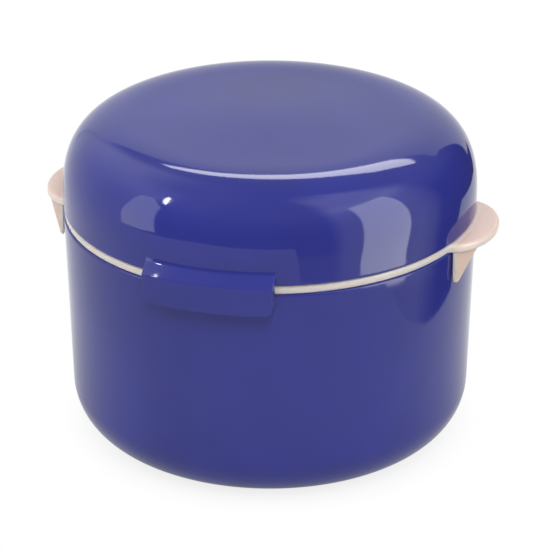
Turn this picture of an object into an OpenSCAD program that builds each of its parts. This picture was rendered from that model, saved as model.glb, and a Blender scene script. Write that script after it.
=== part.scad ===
// Round denture case: a tapered cup, a domed snap lid on a back hinge and a strainer basket whose
// flange is clamped in the seam. Millimetres, +Z up. The origin is the middle of the flat base, the
// snap tab is at the front (-Y), the hinge at the back (+Y) and the basket's ears point along X.

/* [Case] */
// Outer diameter at the seam, the widest point of cup and lid
case_d = 85; // [78:0.5:96]
// Height of the cup from the base to its rim
cup_h = 47.6; // [40:0.1:60]
// Wall thickness of the cup and of the lid
wall_t = 1.8; // [1.4:0.1:2.4]
// Thickness of the cup's floor
floor_t = 2; // [1.6:0.1:3]
// Taper of the cup's wall, in degrees from upright
cup_draft = 1.6; // [0.5:0.1:2.6]
// Radius of the rounding between the cup's wall and its base
base_round = 10.8; // [7:0.1:14]

/* [Lid] */
// Height of the lid from its lower edge to the start of the crown
lid_h = 18.5; // [15:0.1:26]
// Straight part of the lid's wall below the shoulder
skirt_h = 2.3; // [1:0.1:4]
// Radius of the nearly flat top inside the shoulder
lid_top_r = 25.8; // [18:0.1:30]
// Squareness of the shoulder: 2 is a quarter of an ellipse, more is squarer
shoulder_n = 2.76; // [2:0.02:3.4]
// Rise of the top's middle over its edge
crown = 0.4; // [0.1:0.1:1.5]
// Thickness of the ring under the lid that drops into the basket's mouth
lip_t = 1.2; // [0.8:0.1:2]
// How far that ring reaches below the lid's lower edge
lip_drop = 2; // [1:0.1:3.5]
// Radial clearance between that ring and the basket's mouth
lip_clear = 0.4; // [0.3:0.05:0.8]
// Gap between the lid's lower edge and the basket's flange
lid_gap = 0.1; // [0.05:0.05:0.3]

/* [Snap tab] */
// Half of the angle that the tab spans round the case
tab_half_angle = 17.1; // [12:0.1:20]
// How far the tab stands out from the lid's wall
tab_proud = 2.55; // [2.2:0.05:3.2]
// Height above the lid's lower edge at which the tab leaves the wall
tab_top = 2.5; // [1.5:0.1:4]
// Height above the lid's lower edge at which the slope turns into the front face
tab_crease = 0.5; // [0.2:0.1:1.4]
// How far the tab reaches below the cup's rim
tab_reach = 3.4; // [3.2:0.1:5]
// Radius of the tab's lower corners, seen from the front
tab_corner = 1.6; // [0.5:0.1:2.2]
// Height of the hook inside the tab
hook_h = 1.4; // [1:0.1:1.6]
// How far the hook stands in from the tab's inner face
hook_out = 0.33; // [0.2:0.01:0.5]
// How far the catch bead stands out from the cup's wall
catch_out = 0.5; // [0.3:0.05:0.6]
// Clearance between the hook and the catch bead as the hook passes
catch_clear = 0.12; // [0.1:0.01:0.2]
// Half of the angle that the catch bead spans round the cup
catch_half_angle = 13; // [8:0.5:16]

/* [Basket] */
// Thickness of the basket's flange, which shows as the pale band in the seam
band_t = 1.8; // [1.4:0.1:2.6]
// How far the flange's edge stays inside the case's outer wall
band_inset = 0.2; // [0.1:0.05:0.6]
// Thickness of the basket's wall and floor
basket_t = 1.2; // [1:0.1:1.8]
// Radial clearance between the basket and the cup at the rim
basket_clear = 0.5; // [0.3:0.05:1]
// Taper of the basket's wall, in degrees from upright
basket_draft = 2.6; // [2:0.1:4]
// Space under the basket, where the water collects
drain_h = 4; // [2.5:0.1:8]
// Radius of the basket's lower rounding
basket_round = 8; // [6:0.1:10]
// Width of a wall slot
slot_w = 3; // [1.6:0.1:4.5]
// Length of a wall slot
slot_h = 18; // [8:0.5:20]
// Height of the solid wall between the slots and the flange
slot_margin = 8; // [6:0.1:10]
// Number of wall slots
slot_count = 24; // [8:4:28]
// Diameter of a floor hole
hole_d = 4.4; // [2:0.1:5]
// Distance between the rings of floor holes
hole_pitch = 8; // [7:0.1:8.8]
// Number of rings of floor holes round the middle one
hole_rings = 3; // [1:1:3]

/* [Ears] */
// How far an ear reaches beyond the case's outer wall
ear_out = 5.3; // [3:0.1:9]
// Distance from the case's outer wall in to the middle of the ear's oval outline
ear_root = 3; // [2:0.1:5]
// Width of an ear across its oval outline
ear_w = 23.8; // [16:0.1:28]
// Depth of the pointed webs below an ear
web_drop = 6.8; // [5:0.1:9]
// Thickness of a web
web_t = 1.2; // [0.8:0.1:1.8]
// Length of a web along the ear's outline
web_len = 6.2; // [4:0.1:7]
// Radius of a web's lower point
web_tip_r = 0.8; // [0.4:0.1:1]
// Gap between a web and the cup's wall
web_clear = 0.4; // [0.3:0.05:0.8]

/* [Hinge] */
// Diameter of the hinge pin
pin_d = 2.4; // [1.6:0.1:3]
// Radial clearance of the pin in the knuckles
pin_clear = 0.05; // [0.03:0.01:0.1]
// Plastic round the pin in a knuckle
knuckle_t = 1.4; // [1:0.1:2]
// Gap between the barrel of the hinge and the case's outer wall
barrel_clear = 0.5; // [0.4:0.05:1.2]
// Width of the lid's middle knuckle
lid_knuckle_w = 13; // [8:0.5:18]
// Width of each of the cup's two knuckles
cup_knuckle_w = 7; // [4:0.5:9]
// Gap between two knuckles
knuckle_gap = 0.3; // [0.2:0.05:0.6]
// Height of the rib that carries a knuckle
hinge_rib_h = 8; // [5:0.5:12]

/* [Hidden] */

$fn = 96;
eps = 0.01;
fuse = 0.6;
arc_steps = 10;
shoulder_steps = 22;
crown_steps = 6;

case_r = case_d / 2;
band_z = cup_h;
band_top = band_z + band_t;
lid_z = band_top + lid_gap;
lid_top = lid_z + lid_h;

cup_in_r = case_r - wall_t / cos(cup_draft);
basket_r = cup_in_r - basket_clear;
basket_in_r = basket_r - basket_t / cos(basket_draft);
basket_z = floor_t + drain_h;
lip_r = basket_in_r - lip_clear;

catch_r = case_r + catch_out;
// The bead has a flat crest between two slopes of 45 degrees, and ends just below the rim
catch_flat = 0.4;
catch_half_h = catch_flat / 2 + catch_out;
catch_z = cup_h - catch_half_h - 0.2;
hook_r = catch_r + catch_clear;
hook_top = catch_z - catch_out;
tab_in_r = hook_r + hook_out;
tab_out_r = case_r + tab_proud;
tab_z = cup_h - tab_reach;
tab_edge_r = 0.6;

pin_r = pin_d / 2;
bore_r = pin_r + pin_clear;
barrel_r = bore_r + knuckle_t;
hinge_y = case_r + barrel_clear + barrel_r;
hinge_z = band_z + band_t / 2;
cup_knuckle_x = lid_knuckle_w / 2 + knuckle_gap;
pin_half_l = cup_knuckle_x + cup_knuckle_w;

ear_mid = case_r - ear_root;
ear_a = ear_root + ear_out;
ear_b = ear_w / 2;
// Where a web's chord starts and ends on the ear's outline, as angles of the oval
web_from = 80;
web_to = 36;
// Place of a web's point along its length
web_tip_at = 0.26;

// Half outline of a bowl, from the middle of its floor to the axis at its rim: floor, rounding,
// tapered wall. The rounding and the wall are tangent.
function bowl_outline(rim_r, rim_z, floor_z, round_r, draft) =
    let (mid_r = rim_r - (rim_z - floor_z - round_r) * tan(draft) - round_r / cos(draft),
         mid_z = floor_z + round_r)
    concat(
        [[0, floor_z]],
        [for (i = [0:arc_steps])
            let (a = -90 + (90 - draft) * i / arc_steps)
            [mid_r + round_r * cos(a), mid_z + round_r * sin(a)]],
        [[rim_r, rim_z], [0, rim_z]]);

// Half outline of a dome whose shoulder is a quarter of a superellipse and whose top is a low crown.
function dome_outline(side_r, foot_z, skirt_z, top_z) =
    concat(
        [[0, foot_z], [side_r, foot_z]],
        [for (i = [0:shoulder_steps])
            let (a = 90 * i / shoulder_steps)
            [lid_top_r + (side_r - lid_top_r) * pow(cos(a), 2 / shoulder_n),
             skirt_z + (top_z - skirt_z) * pow(sin(a), 2 / shoulder_n)]],
        [for (i = [1:crown_steps])
            let (k = 1 - i / crown_steps)
            [lid_top_r * k, top_z + crown * pow(cos(90 * k), 2)]]);

function ear_point(a) = [ear_mid + ear_a * cos(a), ear_b * sin(a)];

module cup_cavity() {
    rotate_extrude()
        polygon(bowl_outline(cup_in_r + fuse * tan(cup_draft), cup_h + fuse, floor_t,
                             base_round - wall_t, cup_draft));
}

// A ring sector centred on the front of the case, from a half outline of [radius, height] points.
module front_sector(half_angle, outline) {
    rotate([0, 0, -90 - half_angle])
        rotate_extrude(angle = 2 * half_angle)
            polygon(outline);
}

module catch_bead() {
    front_sector(catch_half_angle, [
        [case_r - fuse, catch_z - catch_half_h],
        [case_r, catch_z - catch_half_h],
        [catch_r, catch_z - catch_flat / 2],
        [catch_r, catch_z + catch_flat / 2],
        [case_r, catch_z + catch_half_h],
        [case_r - fuse, catch_z + catch_half_h]]);
}

// Barrel on the hinge axis with the sloping rib that carries it. side is -1 for a rib below the
// seam and 1 for one above it, and edge_z is the edge of the moulding that the rib grows from.
module knuckle(x0, width, side, edge_z) {
    rib_in_y = sqrt(pow(case_r, 2) - pow(pin_half_l, 2)) - fuse;
    translate([x0, 0, 0])
        rotate([90, 0, 90])
            linear_extrude(width)
                union() {
                    translate([hinge_y, hinge_z]) circle(barrel_r);
                    polygon([
                        [rib_in_y, edge_z],
                        [case_r + barrel_clear, edge_z],
                        [hinge_y - barrel_r / 2, hinge_z],
                        [hinge_y, hinge_z],
                        [hinge_y + barrel_r * cos(30), hinge_z + side * barrel_r * sin(30)],
                        [rib_in_y, hinge_z + side * hinge_rib_h]]);
                }
}

module pin_bore() {
    translate([-pin_half_l - fuse, hinge_y, hinge_z])
        rotate([0, 90, 0])
            cylinder(r = bore_r, h = 2 * (pin_half_l + fuse));
}

module cup() {
    color("mediumblue")
        difference() {
            union() {
                rotate_extrude()
                    polygon(bowl_outline(case_r, cup_h, 0, base_round, cup_draft));
                catch_bead();
                knuckle(cup_knuckle_x, cup_knuckle_w, -1, cup_h);
                knuckle(-cup_knuckle_x - cup_knuckle_w, cup_knuckle_w, -1, cup_h);
            }
            cup_cavity();
            pin_bore();
        }
}

module snap_tab() {
    edge_cut = tab_edge_r * (1 - sin(45));
    intersection() {
        front_sector(tab_half_angle, [
            [case_r - fuse, lid_z],
            [tab_in_r, lid_z],
            [tab_in_r, hook_top],
            [hook_r, hook_top - hook_out],
            [hook_r, hook_top - hook_h + hook_out],
            [tab_in_r, hook_top - hook_h],
            [tab_in_r, tab_z],
            [tab_out_r - tab_edge_r, tab_z],
            [tab_out_r - edge_cut, tab_z + edge_cut],
            [tab_out_r, tab_z + tab_edge_r],
            [tab_out_r, lid_z + tab_crease],
            [case_r, lid_z + tab_top],
            [case_r - fuse, lid_z + tab_top]]);
        tab_front();
    }
}

// The tab's outline seen from the front, with round lower corners, pushed through along Y.
module tab_front() {
    half_w = tab_out_r * sin(tab_half_angle);
    translate([0, -case_r / 2, 0])
        rotate([90, 0, 0])
            linear_extrude(case_r)
                union() {
                    translate([-half_w, tab_z + tab_corner])
                        square([2 * half_w, lid_z + tab_top - tab_z]);
                    translate([-half_w + tab_corner, tab_z])
                        square([2 * (half_w - tab_corner), tab_corner + eps]);
                    for (x = [-1, 1])
                        translate([x * (half_w - tab_corner), tab_z + tab_corner])
                            circle(tab_corner);
                }
}

module lid_lip() {
    translate([0, 0, lid_z - lip_drop])
        difference() {
            cylinder(r = lip_r, h = lip_drop + lid_h);
            translate([0, 0, -fuse])
                cylinder(r = lip_r - lip_t, h = lip_drop + lid_h + 2 * fuse);
        }
}

module lid() {
    color("mediumblue")
        difference() {
            union() {
                difference() {
                    union() {
                        rotate_extrude()
                            polygon(dome_outline(case_r, lid_z, lid_z + skirt_h, lid_top));
                        knuckle(-lid_knuckle_w / 2, lid_knuckle_w, 1, lid_z);
                    }
                    rotate_extrude()
                        polygon(dome_outline(case_r - wall_t, lid_z - fuse,
                                             lid_z + skirt_h, lid_top - wall_t));
                }
                intersection() {
                    lid_lip();
                    rotate_extrude()
                        polygon(dome_outline(case_r - fuse, lid_z - lip_drop,
                                             lid_z + skirt_h, lid_top - fuse));
                }
                snap_tab();
            }
            pin_bore();
        }
}

module floor_holes() {
    translate([0, 0, basket_z - fuse]) {
        cylinder(d = hole_d, h = basket_t + 2 * fuse);
        for (ring = [1:hole_rings], i = [0:6 * ring - 1])
            rotate([0, 0, 60 * i / ring])
                translate([ring * hole_pitch, 0, 0])
                    cylinder(d = hole_d, h = basket_t + 2 * fuse);
    }
}

module wall_slots() {
    z1 = cup_h - slot_margin - slot_w / 2;
    z0 = z1 - (slot_h - slot_w);
    for (i = [0:slot_count - 1])
        rotate([0, 0, 360 * (i + 0.5) / slot_count])
            translate([lip_r / 2, 0, 0])
                rotate([90, 0, 90])
                    linear_extrude(case_r - lip_r / 2)
                        union() {
                            translate([0, z0]) circle(slot_w / 2);
                            translate([0, z1]) circle(slot_w / 2);
                            translate([-slot_w / 2, z0]) square([slot_w, z1 - z0]);
                        }
}

// Pointed web under one end of an ear, along the chord from the cup's wall towards the ear's tip.
module ear_web() {
    from = ear_point(web_from);
    to = ear_point(web_to);
    tip = [web_len * web_tip_at, band_z - web_drop + web_tip_r];
    translate([from[0], from[1], 0])
        rotate([90, 0, atan2(to[1] - from[1], to[0] - from[0])])
            linear_extrude(web_t)
                union() {
                    polygon([
                        [0, band_z + eps],
                        [tip[0] - web_tip_r, tip[1]],
                        [tip[0] + web_tip_r, tip[1]],
                        [web_len, band_z + eps]]);
                    translate(tip) circle(web_tip_r);
                }
}

module ear() {
    translate([0, 0, band_z])
        linear_extrude(band_t)
            polygon([for (i = [0:47]) ear_point(i * 7.5)]);
    difference() {
        for (m = [0, 1])
            mirror([0, m, 0]) ear_web();
        translate([0, 0, band_z - web_drop - fuse])
            cylinder(r = case_r + web_clear, h = web_drop + fuse);
    }
}

module basket() {
    color("antiquewhite")
        difference() {
            union() {
                rotate_extrude()
                    polygon(bowl_outline(basket_r, band_z + eps, basket_z, basket_round,
                                         basket_draft));
                translate([0, 0, band_z]) cylinder(r = case_r - band_inset, h = band_t);
                for (m = [0, 1])
                    mirror([m, 0, 0]) ear();
            }
            rotate_extrude()
                polygon(bowl_outline(basket_in_r + (band_t + fuse) * tan(basket_draft),
                                     band_top + fuse, basket_z + basket_t,
                                     basket_round - basket_t, basket_draft));
            floor_holes();
            wall_slots();
        }
}

module hinge_pin() {
    color("silver")
        translate([-pin_half_l, hinge_y, hinge_z])
            rotate([0, 90, 0])
                cylinder(r = pin_r, h = 2 * pin_half_l);
}

cup();
lid();
basket();
hinge_pin();
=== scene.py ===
"""Looks of a round denture case: a blue cup and snap lid, a milky strainer basket and a hinge pin.

Sizes of the case are in millimetres, and those of the studio in metres. A size that the part's
source has too keeps its name and value. A mesh is scaled to metres as it is made, in the frame of
the CAD model: +Z up, the snap tab at -Y, the hinge at +Y and the basket's ears along X.
"""

import logging
import math
from collections.abc import Callable, Sequence
from dataclasses import dataclass
from enum import Enum

import bmesh
import bpy
from mathutils import Matrix, Vector
from mathutils.bvhtree import BVHTree
from mathutils.interpolate import poly_3d_calc


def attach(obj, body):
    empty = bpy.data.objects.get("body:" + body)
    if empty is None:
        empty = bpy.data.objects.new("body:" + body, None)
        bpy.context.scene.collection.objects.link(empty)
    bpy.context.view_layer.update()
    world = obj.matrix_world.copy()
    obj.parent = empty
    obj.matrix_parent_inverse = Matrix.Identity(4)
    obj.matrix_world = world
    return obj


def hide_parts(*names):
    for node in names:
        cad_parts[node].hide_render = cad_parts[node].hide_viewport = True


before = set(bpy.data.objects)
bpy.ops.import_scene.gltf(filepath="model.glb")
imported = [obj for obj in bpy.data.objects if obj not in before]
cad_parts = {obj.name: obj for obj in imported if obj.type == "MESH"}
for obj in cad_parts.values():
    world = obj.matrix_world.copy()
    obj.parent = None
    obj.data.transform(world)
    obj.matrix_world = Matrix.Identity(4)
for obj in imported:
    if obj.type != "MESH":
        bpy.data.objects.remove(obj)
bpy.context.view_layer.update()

log = logging.getLogger("denture_case")

MM = 0.001
UP = Vector((0, 0, 1))
# Steps round a turned piece, round a bore, a barrel and the pin, and round a hole of the basket
TURN_STEPS = 192
BORE_STEPS = 48
HOLE_STEPS = 32
# The angle between two points of a small rounding
ARC_STEP_DEG = 9.0
# Edges that turn by more than this stay sharp, in degrees
SHARP_DEG = 30.0
# Points nearer than this are one point, in metres
WELD = 2e-6

# Inputs of the tree that makes the lid's shell
DOME_SIZES = ("Side Radius", "Top Radius", "Foot Height", "Skirt Height", "Top Height",
              "Shoulder Power", "Crown")
DOME_COUNTS = ("Steps Around", "Steps Up")

Point = tuple[float, float]
Colour = tuple[float, float, float]


class Cut(Enum):
    """How one solid is joined to another."""

    ADD = "UNION"
    REMOVE = "DIFFERENCE"


class Side(Enum):
    """The two sides of one of the case's mirror planes, as a factor."""

    MINUS = -1
    PLUS = 1


# Sizes shared by several pieces


@dataclass(frozen=True)
class Seam:
    """Sizes at the seam, where cup, basket and lid meet."""

    case_r: float = 42.5
    cup_h: float = 47.6
    wall_t: float = 1.8
    band_t: float = 1.8
    band_inset: float = 0.2
    lid_gap: float = 0.1
    cup_draft: float = 1.6
    basket_clear: float = 0.5
    basket_t: float = 1.2
    basket_draft: float = 2.6

    @property
    def band_top(self) -> float:
        """Height of the flange's upper face."""
        return self.cup_h + self.band_t

    @property
    def lid_z(self) -> float:
        """Height of the lid's lower edge."""
        return self.band_top + self.lid_gap

    @property
    def cup_in_r(self) -> float:
        """Inner radius of the cup at its rim."""
        return self.case_r - self.wall_t / math.cos(math.radians(self.cup_draft))

    @property
    def basket_r(self) -> float:
        """Outer radius of the basket's wall under its flange."""
        return self.cup_in_r - self.basket_clear

    @property
    def basket_in_r(self) -> float:
        """Inner radius of the basket's wall at the height of the flange's lower face."""
        return self.basket_r - self.basket_t / math.cos(math.radians(self.basket_draft))


@dataclass(frozen=True)
class Catch:
    """Sizes of the catch bead on the cup and of the hook on the tab that snaps over it."""

    catch_out: float = 0.5
    catch_flat: float = 0.4
    catch_clear: float = 0.12
    catch_half_angle: float = 13.0
    hook_h: float = 1.4
    hook_out: float = 0.33
    below_rim: float = 0.2

    @property
    def half_h(self) -> float:
        """Half of the bead's height where it leaves the wall."""
        return self.catch_flat / 2 + self.catch_out

    def catch_z(self, seam: Seam) -> float:
        """Height of the bead's middle."""
        return seam.cup_h - self.half_h - self.below_rim

    def hook_r(self, seam: Seam) -> float:
        """Inner radius of the hook."""
        return seam.case_r + self.catch_out + self.catch_clear

    def hook_top(self, seam: Seam) -> float:
        """Height of the hook's upper end."""
        return self.catch_z(seam) - self.catch_out


@dataclass(frozen=True)
class HingeLine:
    """Sizes of the hinge, whose axis runs along X behind the seam."""

    pin_d: float = 2.4
    pin_clear: float = 0.05
    knuckle_t: float = 1.4
    barrel_clear: float = 0.5
    lid_knuckle_w: float = 13.0
    cup_knuckle_w: float = 7.0
    knuckle_gap: float = 0.3
    hinge_rib_h: float = 8.0

    @property
    def bore_r(self) -> float:
        """Radius of the hole through the knuckles."""
        return self.pin_d / 2 + self.pin_clear

    @property
    def barrel_r(self) -> float:
        """Outer radius of a knuckle."""
        return self.bore_r + self.knuckle_t

    @property
    def cup_knuckle_x(self) -> float:
        """Where the cup's knuckle starts along X."""
        return self.lid_knuckle_w / 2 + self.knuckle_gap

    @property
    def pin_half_l(self) -> float:
        """Half of the pin's length."""
        return self.cup_knuckle_x + self.cup_knuckle_w

    def centre(self, seam: Seam) -> Point:
        """Place of the hinge's axis, as (y, z)."""
        return seam.case_r + self.barrel_clear + self.barrel_r, seam.cup_h + seam.band_t / 2


# Outlines


@dataclass(frozen=True)
class Corner:
    """A corner of an outline and the radius of its rounding."""

    x: float
    y: float
    round_r: float = 0.0


def arc(centre: Point, radius: float, start: float, sweep: float, steps: int) -> list[Point]:
    """Makes the points of an arc, with both of its ends.

    Args:
        centre: the arc's centre.
        radius: its radius.
        start: the angle of its first point, in radians.
        sweep: the angle from there to its last point.
        steps: the steps between them.

    Returns:
        The points in order.
    """
    turns = [start + sweep * k / steps for k in range(steps + 1)]
    return [(centre[0] + radius * math.cos(a), centre[1] + radius * math.sin(a)) for a in turns]


def round_corners(corners: Sequence[Corner], closed: bool = False,
                  arc_step: float = ARC_STEP_DEG) -> list[Point]:
    """Turns corners into points, with an arc tangent to both sides at each rounded corner.

    Args:
        corners: the corners in order.
        closed: whether the last corner joins the first.
        arc_step: the angle between two points of an arc, in degrees.

    Returns:
        The outline's points in order.
    """
    points: list[Point] = []
    count = len(corners)
    for i, corner in enumerate(corners):
        here = Vector((corner.x, corner.y))
        end = not closed and i in (0, count - 1)
        if end or corner.round_r <= 0:
            points.append((here.x, here.y))
            continue
        before, after = corners[i - 1], corners[(i + 1) % count]
        to_before = (Vector((before.x, before.y)) - here).normalized()
        to_after = (Vector((after.x, after.y)) - here).normalized()
        half = to_before.angle(to_after) / 2
        middle = here + (to_before + to_after).normalized() * (corner.round_r / math.sin(half))
        start = here + to_before * (corner.round_r / math.tan(half)) - middle
        sweep = math.pi - 2 * half
        sweep *= -1 if start.x * to_before.y - start.y * to_before.x > 0 else 1
        steps = max(2, math.ceil(math.degrees(abs(sweep)) / arc_step))
        for k in range(steps + 1):
            a = sweep * k / steps
            arm = Vector((start.x * math.cos(a) - start.y * math.sin(a),
                          start.x * math.sin(a) + start.y * math.cos(a)))
            points.append((middle.x + arm.x, middle.y + arm.y))
    return points


def subdivide(points: Sequence[Point], longest: float) -> list[Point]:
    """Adds points so that no piece of an open outline is longer than a given length.

    Args:
        points: the outline's points.
        longest: the longest piece that may stay, in millimetres.

    Returns:
        The points with the new ones between them.
    """
    out = [points[0]]
    for (x0, y0), (x1, y1) in zip(points, points[1:]):
        steps = max(1, math.ceil(math.hypot(x1 - x0, y1 - y0) / longest))
        out += [(x0 + (x1 - x0) * k / steps, y0 + (y1 - y0) * k / steps)
                for k in range(1, steps + 1)]
    return out


# Meshes


def new_object(name: str, data: bpy.types.ID) -> bpy.types.Object:
    """Makes an object and puts it in the scene.

    Args:
        name: its name.
        data: its mesh, lamp or camera.

    Returns:
        The new object, at the origin.
    """
    obj = bpy.data.objects.new(name, data)
    bpy.context.scene.collection.objects.link(obj)
    return obj


def mesh_object(name: str, points: Sequence[Sequence[float]],
                faces: Sequence[Sequence[int]] = ()) -> bpy.types.Object:
    """Makes an object from points in millimetres.

    Args:
        name: the object's name.
        points: the points, in millimetres.
        faces: the faces, as indices of points.

    Returns:
        The new object, at the origin.
    """
    mesh = bpy.data.meshes.new(name)
    mesh.from_pydata([[c * MM for c in p] for p in points], [], list(faces))
    mesh.update()
    return new_object(name, mesh)


def loft(name: str, loops: Sequence[Sequence[Sequence[float]]], material: bpy.types.Material,
         capped: bool = True) -> bpy.types.Object:
    """Joins loops of equally many points by quads.

    Args:
        name: the object's name.
        loops: the loops, in order.
        material: the solid's material.
        capped: whether the first and last loop are closed by a face each.

    Returns:
        The closed shell, with its faces outward.
    """
    count = len(loops[0])
    faces: list[list[int]] = []
    for j in range(len(loops) - 1):
        for i in range(count):
            k = (i + 1) % count
            faces.append([j * count + i, j * count + k, (j + 1) * count + k, (j + 1) * count + i])
    if capped:
        faces.append(list(range(count))[::-1])
        faces.append([(len(loops) - 1) * count + i for i in range(count)])
    obj = mesh_object(name, [p for loop in loops for p in loop], faces)
    obj.data.materials.append(material)
    tidy_mesh(obj, outward=True)
    return obj


def tidy_mesh(obj: bpy.types.Object, outward: bool = False) -> None:
    """Welds doubled points, drops faces without area and, where asked, turns all faces outward.

    Args:
        obj: the object to tidy.
        outward: whether the normals are recalculated, for a shell that is one closed surface.
    """
    bm = bmesh.new()
    bm.from_mesh(obj.data)
    bmesh.ops.remove_doubles(bm, verts=bm.verts, dist=WELD)
    bmesh.ops.dissolve_degenerate(bm, edges=bm.edges, dist=WELD)
    if outward:
        bmesh.ops.recalc_face_normals(bm, faces=bm.faces)
    bm.to_mesh(obj.data)
    bm.free()
    obj.data.update()


def settle(obj: bpy.types.Object) -> None:
    """Turns an object's modifiers into a plain mesh.

    Args:
        obj: the object.
    """
    graph = bpy.context.evaluated_depsgraph_get()
    mesh = bpy.data.meshes.new_from_object(obj.evaluated_get(graph), depsgraph=graph)
    obj.modifiers.clear()
    obj.data = mesh
    mesh.name = obj.name


def soften(obj: bpy.types.Object, width: float, angle: float = 35.0, segments: int = 3) -> None:
    """Rounds an object's sharp edges.

    Args:
        obj: the object.
        width: the width of the rounding, in millimetres.
        angle: edges that turn by more than this are rounded, in degrees.
        segments: the steps of the rounding.
    """
    bevel = obj.modifiers.new("soften", "BEVEL")
    bevel.width = width * MM
    bevel.segments = segments
    bevel.limit_method = "ANGLE"
    bevel.angle_limit = math.radians(angle)
    settle(obj)
    tidy_mesh(obj)


def combine(obj: bpy.types.Object, other: bpy.types.Object, cut: Cut) -> None:
    """Joins another solid to an object, or cuts it away, and removes the other object.

    Args:
        obj: the object.
        other: the other solid.
        cut: how it is joined.
    """
    step = obj.modifiers.new("combine", "BOOLEAN")
    step.operation = cut.value
    step.solver = "EXACT"
    step.object = other
    settle(obj)
    remove(other)


def remove(obj: bpy.types.Object) -> None:
    """Removes an object from the scene."""
    bpy.data.objects.remove(obj, do_unlink=True)


class Shading:
    """Keeps the smooth shading of the shells that a moulding is joined from.

    Joining solids leaves long thin faces whose own normals would show in a glossy surface. Each
    such face lies in a face of one of the shells, and takes its normals from there.
    """

    # How near a face's shell lies, in metres, and the least cosine between their normals
    near = 4e-6
    agree = 0.94

    def __init__(self) -> None:
        """Starts with no shell."""
        self.points: list[Vector] = []
        self.faces: list[list[int]] = []
        self.normals: list[list[Vector]] = []
        self.flat: list[Vector] = []

    def add(self, obj: bpy.types.Object) -> None:
        """Takes in the shading of one shell.

        Args:
            obj: the shell.
        """
        mesh = obj.data
        smooth(obj)
        corner = mesh.corner_normals
        start = len(self.points)
        self.points += [v.co.copy() for v in mesh.vertices]
        for face in mesh.polygons:
            self.faces.append([start + i for i in face.vertices])
            self.normals.append([corner[i].vector.copy() for i in face.loop_indices])
            self.flat.append(face.normal.copy())

    def apply(self, obj: bpy.types.Object) -> None:
        """Gives a joined moulding the shading of its shells.

        Args:
            obj: the moulding.
        """
        smooth(obj)
        mesh = obj.data
        tree = BVHTree.FromPolygons(self.points, self.faces)
        found = [Vector((0, 0, 0))] * len(mesh.loops)
        for face in mesh.polygons:
            hits = tree.find_nearest_range(face.center, self.near)
            hits = [h for h in hits if abs(self.flat[h[2]].dot(face.normal)) > self.agree]
            if not hits:
                continue
            source = min(hits, key=lambda h: h[3])[2]
            turned = self.flat[source].dot(face.normal) < 0
            ring = [self.points[i] for i in self.faces[source]]
            for loop in face.loop_indices:
                spot = mesh.vertices[mesh.loops[loop].vertex_index].co
                weights = poly_3d_calc(ring, spot)
                normal = Vector((0, 0, 0))
                for weight, part in zip(weights, self.normals[source]):
                    normal += part * weight
                found[loop] = (-normal if turned else normal).normalized()
        mesh.normals_split_custom_set(found)


def smooth(obj: bpy.types.Object) -> None:
    """Shades an object smooth, except over its sharp edges."""
    obj.data.shade_smooth()
    obj.data.set_sharp_from_angle(angle=math.radians(SHARP_DEG))


def join(shell: bpy.types.Object, *steps: tuple[Cut, Sequence[bpy.types.Object]]
         ) -> bpy.types.Object:
    """Joins a moulding from its shell and further solids, and keeps their smooth shading.

    Args:
        shell: the moulding's main shell.
        *steps: what is done in turn, and with which solids.

    Returns:
        The moulding as one closed mesh, in the place of its shell.
    """
    shading = Shading()
    shading.add(shell)
    for cut, solids in steps:
        for solid in solids:
            shading.add(solid)
            combine(shell, solid, cut)
    tidy_mesh(shell)
    shading.apply(shell)
    return shell


# Node trees


def operator(operation: str, swapped: bool = False) -> Callable[["Signal", object], "Signal"]:
    """Makes the method behind one of Python's operators.

    Args:
        operation: the Math node's operation.
        swapped: whether the signal stands on the operator's right.

    Returns:
        The method, which adds that node to the signal's tree.
    """
    def method(signal: "Signal", other: object) -> "Signal":
        """Adds the node between the signal and another value."""
        pair = (other, signal) if swapped else (signal, other)
        return signal.sheet.math(operation, *pair)

    return method


@dataclass(frozen=True)
class Signal:
    """A value that flows through a node tree, written with Python's own arithmetic."""

    sheet: "NodeSheet"
    socket: bpy.types.NodeSocket

    __add__ = __radd__ = operator("ADD")
    __mul__ = __rmul__ = operator("MULTIPLY")
    __sub__, __rsub__ = operator("SUBTRACT"), operator("SUBTRACT", swapped=True)
    __truediv__, __rtruediv__ = operator("DIVIDE"), operator("DIVIDE", swapped=True)
    __pow__ = operator("POWER")


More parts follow.
